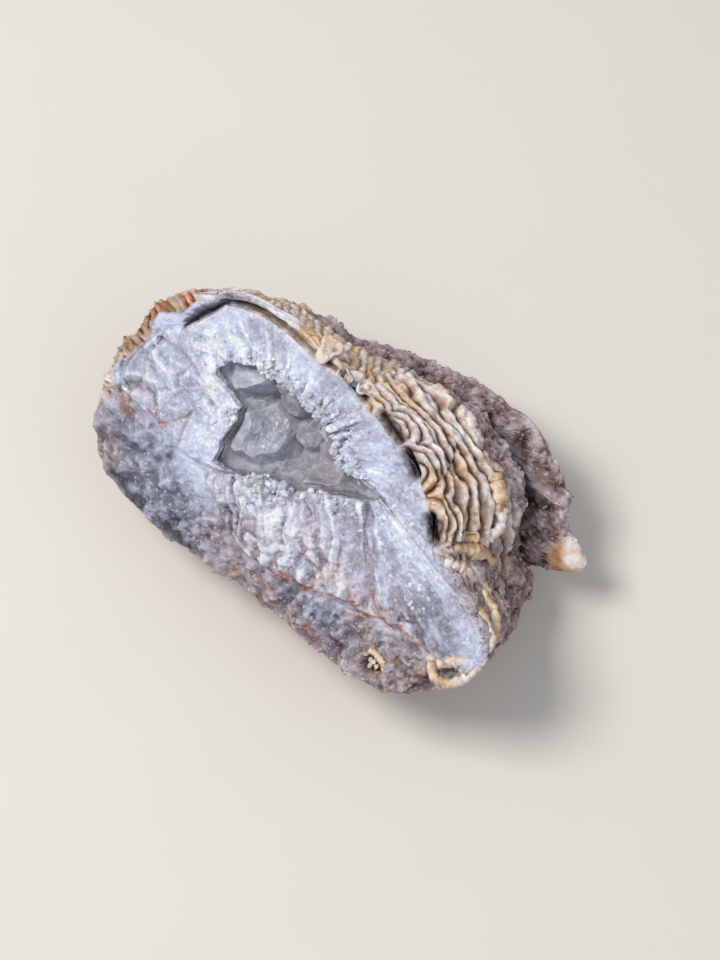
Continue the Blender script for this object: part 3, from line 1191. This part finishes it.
# %% [markdown]
# ## Teeth
#
# The teeth stand on the quartz near its inner edge, closer together at a few clusters, and lean
# towards the hollow. Where each one stands is drawn at random, with more chances near a cluster.

# %% Teeth round the mouth
UPPER_TEETH, LOWER_TEETH = 230, 150
UPPER_ARC, LOWER_ARC = (25.0, 200.0), (250.0, 352.0)
CLUSTERS = ((-17, 20, 4.0), (-3.5, 21, 4.0), (15, 17, 6.0), (21, 13, 6.0), (-6, -4, 7.0))

draw = np.random.default_rng(17)
degrees = np.degrees(quartz_angles) % 360.0
sides = [np.flatnonzero((degrees > start) & (degrees < end)) for start, end in (UPPER_ARC, LOWER_ARC)]
chances = [0.12 + near_spots(mouth[side], CLUSTERS) for side in sides]
tooth_columns = np.concatenate([draw.choice(side, count, p=chance / chance.sum()) for side, count, chance
                                in zip(sides, (UPPER_TEETH, LOWER_TEETH), chances)])
steps_in = np.concatenate([draw.exponential(10.0, UPPER_TEETH), draw.exponential(10.0, LOWER_TEETH)])
tooth_rows = np.clip(QUARTZ_ROWS - 1 - steps_in, 20, QUARTZ_ROWS - 1).astype(int)
feet = face[tooth_rows, tooth_columns]
inwards = unit(mouth[tooth_columns] - edge[tooth_columns])
lean_in = np.concatenate([draw.uniform(0.3, 1.1, UPPER_TEETH), draw.uniform(-0.1, 0.6, LOWER_TEETH)])
ways = np.column_stack([inwards * lean_in[:, None], np.full(len(feet), 0.8)])
ways = ways + 0.35 * draw.normal(size=feet.shape)
radii = 0.25 + draw.exponential(0.28, len(feet)).clip(0.0, 1.1)
lengths = radii * draw.uniform(1.0, 2.0, len(feet)) + 0.4
points, faces = six_sided(feet - 0.5 * ways * radii[:, None], ways, radii, lengths + 0.4, draw)
white = np.repeat(draw.uniform(0.3, 1.0, len(feet)), CRYSTAL_POINTS)
rim_teeth = add_mesh("rim_teeth", points, faces, {"milk": white, "slate": slate(points)}, False)

# %% [markdown]
# ## Grains
#
# The matrix glitters with short crystals. They stand at random places of the sheet, but not on
# agate, not on the underside, and not in the first and last rows, where they would stick out.

# %% Grains in the matrix
GRAINS, END_ROWS = 2600, 12
ABOVE_TABLE = 2.0 * MILLIMETRE

rows = draw.integers(0, len(sheet) - END_ROWS, GRAINS * 3)
grain_columns = draw.integers(0, COLUMNS, GRAINS * 3)
off_ribs = (depth > 26.0) | (signed_turn < 60.0)
bare = (agate < 0.3) & off_ribs & (to_world(skin)[..., 2] > cad_low[2] + ABOVE_TABLE)
keep = np.flatnonzero(bare[rows, grain_columns] & (rows > END_ROWS))[:GRAINS]
rows, grain_columns = rows[keep], grain_columns[keep]
feet = skin[rows, grain_columns]
ways = out[rows, grain_columns] + 0.7 * draw.normal(size=(len(keep), 3))
radii = draw.uniform(0.2, 0.6, len(keep))
lengths = radii * draw.uniform(1.1, 1.6, len(keep))
points, faces = six_sided(feet - 0.4 * radii[:, None] * ways, ways, radii, lengths, draw)
marks = {mark: np.repeat(values[rows, grain_columns], CRYSTAL_POINTS)
         for mark, values in sheet_marks.items()}
marks["proud"] = np.repeat(draw.uniform(0.3, 1.0, len(keep)), CRYSTAL_POINTS)
matrix_grains = add_mesh("matrix_grains", points, faces, marks, False)

# %% [markdown]
# ## Materials
#
# A material is a tree of nodes that ends in one shader. The same few kinds of node come back all
# the time: a mark read from the mesh, noise at the object's own coordinates, a colour ramp, a
# blend of two colours. So each is one method of a small class, and a finish reads like a recipe.

# %% Node helpers
class Finish:
    """One material. A value is a number, a colour or a socket of another node."""

    def __init__(self, name):
        self.material = bpy.data.materials.new(name)
        self.material.use_nodes = True
        self.tree = self.material.node_tree
        self.place = self.node("TexCoord").outputs["Object"]

    def put(self, socket, value):
        """Links a socket into an input, or sets the input's own value."""
        if isinstance(value, bpy.types.NodeSocket):
            self.tree.links.new(value, socket)
        elif isinstance(value, tuple) and socket.type == "RGBA":
            socket.default_value = (*value, 1.0)
        else:
            socket.default_value = value

    def node(self, kind, settings=(), values=(), **inputs):
        """Adds a node with its settings, its inputs in order or its inputs by name."""
        made = self.tree.nodes.new("ShaderNode" + kind)
        for key, value in dict(settings).items():
            setattr(made, key, value)
        for socket, value in zip(made.inputs, values):
            self.put(socket, value)
        for key, value in inputs.items():
            self.put(made.inputs[key], value)
        return made

    def mark(self, name):
        """A mark that is stored on the vertices."""
        return self.node("Attribute", {"attribute_name": name}).outputs["Fac"]

    def shifted(self, x, y, z):
        """The object's own coordinates, moved."""
        return self.node("Mapping", Vector=self.place, Location=(x, y, z)).outputs["Vector"]

    def speckle(self, size, detail=2.0, seed=0.0, rough=0.5):
        """Noise from 0 to 1 with lumps of size millimetres."""
        return self.node("TexNoise", Vector=self.shifted(seed, 0.0, seed * 0.5), Scale=1000.0 / size,
                         Detail=detail, Roughness=rough).outputs["Fac"]

    def ramp(self, value, stops):
        """A colour ramp from (place, colour) stops; a single number is a grey."""
        made = self.node("ValToRGB", Fac=value)
        elements = made.color_ramp.elements
        while len(elements) < len(stops):
            elements.new(0.5)
        for element, (place, colour) in zip(elements, stops):
            element.position = place
            element.color = (*(colour if isinstance(colour, tuple) else (colour,) * 3), 1.0)
        return made.outputs["Color"]

    def blend(self, share, first, second, how="MIX"):
        """From the first colour to the second, or to what the second makes of the first."""
        made = self.node("Mix", {"data_type": "RGBA", "blend_type": how})
        for number, value in ((0, share), (6, first), (7, second)):
            self.put(made.inputs[number], value)
        return made.outputs[2]

    def calc(self, how, first, second):
        return self.node("Math", {"operation": how}, (first, second)).outputs["Value"]

    def times(self, first, second):
        return self.calc("MULTIPLY", first, second)

    def plus(self, value, extra, much):
        """value + much * extra"""
        return self.calc("ADD", value, self.times(extra, much))

    def centred(self, value, extra, much):
        """value + much * (extra - 0.5), for an extra that runs from 0 to 1"""
        return self.plus(value, self.calc("SUBTRACT", extra, 0.5), much)

    def cells(self, size, place=None):
        """Voronoi cells of size millimetres."""
        return self.node("TexVoronoi", Vector=place or self.place, Scale=1000.0 / size)

    def random(self, cells, part):
        """A random number of each cell: a part of its random colour."""
        return self.node("SeparateColor", Color=cells.outputs["Color"]).outputs[part]

    def sparks(self, cells, share):
        """1 on a random share of the cells, 0 elsewhere."""
        return self.ramp(self.random(cells, "Green"), ((1.0 - share - 0.01, 0.0), (1.0 - share, 1.0)))

    def facets(self, size, seed=0.0):
        """A height for a bump: in every cell a plane through its middle with a random tilt."""
        place = self.shifted(seed, seed * 0.3, 0.0)
        cells = self.cells(size, place)
        away = self.vector("SUBTRACT", place, cells.outputs["Position"]).outputs["Vector"]
        lean = self.vector("SUBTRACT", cells.outputs["Color"], (0.5, 0.5, 0.5)).outputs["Vector"]
        plane = self.vector("DOT_PRODUCT", away, lean).outputs["Value"]
        return self.times(plane, 1000.0 / size), cells

    def vector(self, how, first, second):
        return self.node("VectorMath", {"operation": how}, (first, second))

    def bumps(self, *layers):
        """Tilts the shading by heights from 0 to 1, each given as (height, millimetres, strength)."""
        normal = None
        for height, deep, strength in layers:
            made = self.node("Bump", Height=height, Distance=deep * MILLIMETRE, Strength=strength)
            if normal is not None:
                self.put(made.inputs["Normal"], normal)
            normal = made.outputs["Normal"]
        return normal

    def shade(self, values):
        """Fills in the shader's inputs."""
        shader = self.tree.nodes["Principled BSDF"]
        for name, value in values.items():
            self.put(shader.inputs[name], value)
        return self.material


# %% [markdown]
# ## The colour of broken quartz
#
# Both the quartz and the shards of matrix on the face are broken quartz. Two ramps run from clear
# to frosty: one lavender to white, one black to pale slate. The mark "slate" blends them.

# %% Broken quartz
WHITE_QUARTZ = ((0.12, (0.42, 0.42, 0.52)), (0.36, (0.56, 0.58, 0.71)), (0.62, (0.68, 0.73, 0.90)),
                (0.92, (0.93, 0.96, 1.0)))
GREY_QUARTZ = ((0.12, (0.018, 0.018, 0.026)), (0.36, (0.09, 0.09, 0.125)), (0.58, (0.25, 0.255, 0.33)),
               (0.85, (0.60, 0.63, 0.76)))
QUARTZ_IOR = 1.54


def broken_quartz(finish, milk, fine):
    """The colour of the broken face, from how milky it is and from fine noise."""
    whole = finish.plus(finish.times(milk, 0.8), fine, 0.3)
    return finish.blend(finish.mark("slate"), finish.ramp(whole, WHITE_QUARTZ),
                        finish.ramp(whole, GREY_QUARTZ))


print("index of refraction of quartz:", QUARTZ_IOR)

# %% [markdown]
# ## Agate skin and matrix
#
# The skin is ochre or pale from ribbon to ribbon, dark in the creases and bright on the crests,
# because the crests are worn. Chalk lies along the upper gap, and the ribs at the upper left are
# red with iron. The matrix is a mauve brown with grains that glint. One material does it all, as
# the marks tell it where it is.

# %% The rind
OCHRE = ((0.0, (0.075, 0.038, 0.024)), (0.22, (0.28, 0.15, 0.085)), (0.45, (0.56, 0.34, 0.18)),
         (0.75, (0.77, 0.54, 0.34)), (1.0, (0.90, 0.78, 0.64)))
PALE = ((0.0, (0.09, 0.055, 0.042)), (0.22, (0.34, 0.235, 0.18)), (0.45, (0.64, 0.51, 0.43)),
        (0.75, (0.84, 0.76, 0.72)), (1.0, (0.96, 0.93, 0.93)))
STAIN, HONEY, RIM_SHADE = (0.24, 0.13, 0.075), (0.78, 0.52, 0.26), (0.50, 0.36, 0.29)
RED_RIB = ((0.2, (0.10, 0.02, 0.01)), (0.6, (0.50, 0.14, 0.05)), (0.9, (0.80, 0.42, 0.25)))
CHALK_WHITE = ((0.3, (0.60, 0.58, 0.64)), (0.6, (0.92, 0.91, 0.95)))
MATRIX = ((0.20, (0.050, 0.028, 0.022)), (0.36, (0.25, 0.17, 0.155)), (0.50, (0.44, 0.345, 0.35)),
          (0.66, (0.61, 0.53, 0.56)), (0.82, (0.82, 0.77, 0.82)))
MATRIX_PATCH, MATRIX_BROWN = (0.52, 0.37, 0.29), (0.45, 0.32, 0.27)
EARTH = ((0.3, (0.09, 0.045, 0.03)), (0.5, (0.34, 0.22, 0.17)), (0.75, (0.68, 0.55, 0.50)))
RUSTY = ((0.3, (0.12, 0.035, 0.02)), (0.5, (0.34, 0.15, 0.10)), (0.7, (0.66, 0.44, 0.36)))
CREAMY = ((0.38, (0.42, 0.19, 0.10)), (0.48, (0.74, 0.50, 0.36)), (0.58, (0.90, 0.84, 0.80)))
GRAIN_GLINT, DIRT = (0.80, 0.79, 0.86), (0.022, 0.013, 0.012)


def skin_colour(f, patch, coarse, fine):
    """The agate: worn ribbons, stains, honey patches, red ribs and chalk."""
    crest, rim = f.mark("crest"), f.mark("rim")
    wear = f.centred(f.centred(crest, coarse, 0.7), fine, 0.35)
    which = f.ramp(f.plus(f.times(patch, 0.7), f.mark("ribbon"), 0.4), ((0.43, 0.0), (0.60, 1.0)))
    colour = f.blend(which, f.ramp(wear, OCHRE), f.ramp(wear, PALE))
    stain = f.ramp(f.speckle(3.0, 3.0, 0.9), ((0.52, 0.0), (0.72, 0.75)))
    colour = f.blend(stain, colour, STAIN)
    honey = f.ramp(f.speckle(6.0, 2.0, 2.3), ((0.5, 0.0), (0.66, 0.45)))
    colour = f.blend(honey, colour, HONEY, "MULTIPLY")
    colour = f.blend(f.times(rim, 0.75), colour, RIM_SHADE, "MULTIPLY")
    red = f.times(f.ramp(f.speckle(5.0, 3.0, 1.7), ((0.46, 0.0), (0.56, 0.95))), rim)
    colour = f.blend(red, colour, f.ramp(wear, RED_RIB))
    white = f.calc("MAXIMUM", f.times(f.mark("lip"), crest), f.mark("chalk"))
    return f.blend(white, colour, f.ramp(fine, CHALK_WHITE))


def stone_colour(f, patch, coarse, fine, tint):
    """The matrix, and on the broken face the shards with their earth and rust."""
    brown = f.mark("brown")
    body = f.plus(f.plus(f.times(f.mark("proud"), 0.45), coarse, 0.35), tint, 0.2)
    matrix = f.blend(f.ramp(patch, ((0.42, 0.0), (0.6, 0.6))), f.ramp(body, MATRIX), MATRIX_PATCH,
                     "MULTIPLY")
    matrix = f.blend(f.times(brown, 0.65), matrix, MATRIX_BROWN, "MULTIPLY")
    earthy = f.times(brown, f.ramp(coarse, ((0.35, 0.2), (0.6, 0.9))))
    shards = f.blend(earthy, broken_quartz(f, body, fine), f.ramp(body, EARTH))
    shards = f.blend(f.mark("rust"), shards, f.ramp(coarse, RUSTY))
    return f.blend(f.mark("face"), matrix, shards)


def rind_material():
    """Agate skin on the ribbons, grainy brown matrix behind and slate grey shards on the face."""
    f = Finish("rind")
    patch, coarse = f.speckle(8.0, 3.0), f.speckle(2.5, 4.0, 0.7, 0.65)
    fine = f.speckle(0.8, 4.0, 0.3, 0.6)
    grit, grit_cells = f.facets(1.3)
    colour = stone_colour(f, patch, coarse, fine, f.random(grit_cells, "Blue"))
    colour = f.blend(f.times(f.sparks(f.cells(0.55), 0.04), 0.45), colour, GRAIN_GLINT)
    colour = f.blend(f.mark("agate"), colour, skin_colour(f, patch, coarse, fine))
    colour = f.blend(f.mark("shell"), colour, f.ramp(patch, CREAMY))
    return f.shade({"Base Color": f.blend(f.mark("dark"), colour, DIRT),
                    "Roughness": f.ramp(fine, ((0.3, 0.3), (0.7, 0.6))),
                    "Normal": f.bumps((grit, 0.9, 0.7), (coarse, 0.8, 0.8), (fine, 0.35, 0.9))})


# %% [markdown]
# ## Quartz
#
# Broken quartz sparkles because every chip is a tiny mirror that faces its own way. Voronoi cells
# with a random tilt do that, as bump: they are far smaller than the mesh can hold. Some light goes
# in and comes out again nearby, which is what subsurface scattering is for.

# %% The quartz
PINK_QUARTZ = ((0.2, (0.36, 0.22, 0.19)), (0.5, (0.66, 0.54, 0.53)), (0.8, (0.92, 0.87, 0.88)))
RUSTY_QUARTZ = ((0.35, (0.22, 0.07, 0.045)), (0.65, (0.60, 0.34, 0.27)))
SPARK, WHITE_EDGE, CREVICE = (0.97, 0.98, 1.0), (0.9, 0.93, 0.99), (0.05, 0.04, 0.045)


def quartz_material():
    """Milky quartz: frosty on its ridges, clearer and lavender in between, stained at the crack."""
    f = Finish("quartz")
    fine = f.speckle(1.0, 5.0, 0.2, 0.6)
    broad, _ = f.facets(2.6, 0.1)
    small, chips = f.facets(0.8, 0.5)
    milk = f.centred(f.mark("milk"), f.random(chips, "Blue"), 0.16)
    colour = broken_quartz(f, milk, fine)
    pink = f.ramp(f.plus(f.times(milk, 0.6), fine, 0.4), PINK_QUARTZ)
    colour = f.blend(f.times(f.mark("pink"), 0.85), colour, pink)
    colour = f.blend(f.mark("rust"), colour, f.ramp(fine, RUSTY_QUARTZ))
    sparkle = f.times(f.sparks(chips, 0.16), f.plus(0.3, f.mark("teeth"), 0.6))
    colour = f.blend(sparkle, colour, SPARK)
    colour = f.blend(f.times(f.mark("edge"), 0.8), colour, WHITE_EDGE)
    return f.shade({"Base Color": f.blend(f.mark("dark"), colour, CREVICE),
                    "Roughness": f.ramp(fine, ((0.35, 0.12), (0.65, 0.35))),
                    "IOR": QUARTZ_IOR,
                    "Subsurface Weight": 0.5,
                    "Subsurface Radius": (0.9, 1.0, 1.2),
                    "Subsurface Scale": 0.0011,
                    "Normal": f.bumps((broad, 1.2, 1.0), (small, 0.8, 1.0), (fine, 0.35, 0.8))})


# %% [markdown]
# ## Grey crystal
#
# The crystals in the hollow are partly clear. A little transmission and more subsurface light give
# them depth. Veils are soft noise, and the curved fractures are contour lines of another noise.

# %% The hollow's crystal
VEIL = ((0.3, (0.44, 0.44, 0.49)), (0.5, (0.53, 0.54, 0.61)), (0.7, (0.64, 0.66, 0.76)))
FLECK, WARM_GREY, DEEP_GREY = (0.80, 0.82, 0.9), (0.44, 0.37, 0.36), (0.33, 0.32, 0.36)
FRACTURE, FROSTED = (0.85, 0.86, 0.9), (0.74, 0.76, 0.84)


def crystal_material():
    """Grey crystal, partly clear, with veils and faint curved fractures."""
    f = Finish("crystal")
    veil, crack = f.speckle(3.0, 4.0, 0.4), f.speckle(5.0, 1.0, 0.8)
    colour = f.ramp(veil, VEIL)
    colour = f.blend(f.times(f.sparks(f.cells(0.7), 0.1), 0.45), colour, FLECK)
    colour = f.blend(f.times(f.mark("warm"), 0.6), colour, WARM_GREY)
    colour = f.blend(f.ramp(f.mark("deep"), ((0.4, 0.0), (0.85, 0.45))), colour, DEEP_GREY)
    thin = f.ramp(f.calc("PINGPONG", f.times(crack, 9.0), 0.5), ((0.0, 1.0), (0.05, 0.0)))
    colour = f.blend(f.times(thin, 0.3), colour, FRACTURE)
    colour = f.blend(f.ramp(f.mark("proud"), ((0.6, 0.0), (0.95, 0.5))), colour, FROSTED)
    chips, _ = f.facets(1.1, 0.9)
    return f.shade({"Base Color": colour,
                    "Roughness": f.ramp(veil, ((0.3, 0.12), (0.7, 0.35))),
                    "IOR": QUARTZ_IOR,
                    "Transmission Weight": 0.15,
                    "Subsurface Weight": 0.5,
                    "Subsurface Radius": (1.0, 1.0, 1.1),
                    "Subsurface Scale": 0.0018,
                    "Normal": f.bumps((chips, 0.35, 0.8), (f.speckle(0.5, 3.0, 1.1), 0.15, 0.8),
                                      (crack, 2.5, 0.6))})


# %% [markdown]
# ## Putting it together
#
# Every piece gets its material, rides on the stone's one body, and says which CAD node it stands
# for and which of the record's material slots it shows.

# %% Pieces, bodies and slots
rind = rind_material(), "rind", "rind"
quartz = quartz_material(), "quartz_wall", "quartz"
crystal = crystal_material(), "crystal_crust", "crystal"
for piece, (finish, node, slot) in ((matrix_face, rind), (agate_ledges, rind), (matrix_back, rind),
                                    (quartz_face, quartz), (agate_strings, rind), (matrix_grains, rind),
                                    (rim_teeth, quartz), (hollow_crystals, crystal)):
    piece.data.materials.append(finish)
    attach(piece, "root")
    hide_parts(node)
    print(piece.name, "stands for", node, "and shows", slot)

# %% [markdown]
# ## Floor, light and camera
#
# A plain pale floor and two softboxes show the stone as a studio would. The camera looks down
# steeply and a little from the right, along the line on which the broken face opens up.

# %% Stage
AZIMUTH, ELEVATION, AWAY = math.radians(47.0), math.radians(70.0), 0.600
SIDESTEP = 0.01875
FLOOR_HALF = 3.0
LIGHT_AWAY, LIGHT_AIM = 0.9, np.array([0.0, 0.0, 0.03])
FLOOR_COLOUR = ((0.3, (0.775, 0.735, 0.655)), (0.7, (0.785, 0.745, 0.665)))

# The image's right and up, and the way to the camera, in the world.
image_right = np.array([math.cos(AZIMUTH), math.sin(AZIMUTH), 0.0])
to_camera = np.array([math.sin(AZIMUTH) * math.cos(ELEVATION), -math.cos(AZIMUTH) * math.cos(ELEVATION),
                      math.sin(ELEVATION)])
image_up = np.cross(to_camera, image_right)


def link(name, data):
    """An object of its own for some data, in the scene."""
    made = bpy.data.objects.new(name, data)
    bpy.context.scene.collection.objects.link(made)
    return made


def look_along(thing, right, up, back, place):
    """Places a camera or light whose X, Y and Z axes are right, up and back."""
    placed = np.eye(4)
    placed[:3] = np.column_stack([right, up, back, place])
    thing.matrix_world = Matrix(placed.tolist())


def add_floor():
    """A wide square at table height."""
    f = Finish("floor")
    mesh = bpy.data.meshes.new("floor")
    corners = [(x * FLOOR_HALF, y * FLOOR_HALF, 0) for x, y in ((-1, -1), (1, -1), (1, 1), (-1, 1))]
    mesh.from_pydata(corners, [], [(0, 1, 2, 3)])
    mesh.materials.append(f.shade({"Base Color": f.ramp(f.speckle(40.0, 2.0), FLOOR_COLOUR),
                                   "Roughness": 0.9}))
    link("floor", mesh)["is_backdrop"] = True


def add_camera():
    """A long lens, so that the stone keeps its proportions."""
    data = bpy.data.cameras.new("camera")
    data.lens, data.sensor_width = 90.0, 36.0
    data.clip_start, data.clip_end = 0.05, 10.0
    made = link("camera", data)
    place = FACE_MIDDLE * MILLIMETRE + AWAY * to_camera + SIDESTEP * image_right
    look_along(made, image_right, image_up, to_camera, place)
    bpy.context.scene.camera = made


def add_light(name, way, size, power, colour):
    """A square softbox that looks at the stone. way is (right, up, back) in the image."""
    towards = unit(way[0] * image_right + way[1] * image_up + way[2] * to_camera)
    data = bpy.data.lights.new(name, "AREA")
    data.size, data.energy, data.color = size, power, colour
    side = unit(np.cross((0.0, 0.0, 1.0), towards))
    place = LIGHT_AIM + LIGHT_AWAY * towards
    look_along(link(name, data), side, np.cross(towards, side), towards, place)


add_floor()
add_camera()
add_light("key", (-0.5, 0.4, 1.0), 0.3, 5.5, (1.0, 0.98, 0.95))
add_light("fill", (0.6, -0.2, 1.0), 0.9, 1.5, (0.92, 0.95, 1.0))
world = bpy.data.worlds.new("studio")
bpy.context.scene.world = world
world.use_nodes = True
sky = world.node_tree.nodes["Background"].inputs
sky["Color"].default_value, sky["Strength"].default_value = (0.86, 0.9, 1.0, 1.0), 0.42
bpy.context.scene.view_settings.view_transform = "Standard"
print("camera at", [round(x, 3) for x in bpy.context.scene.camera.location])
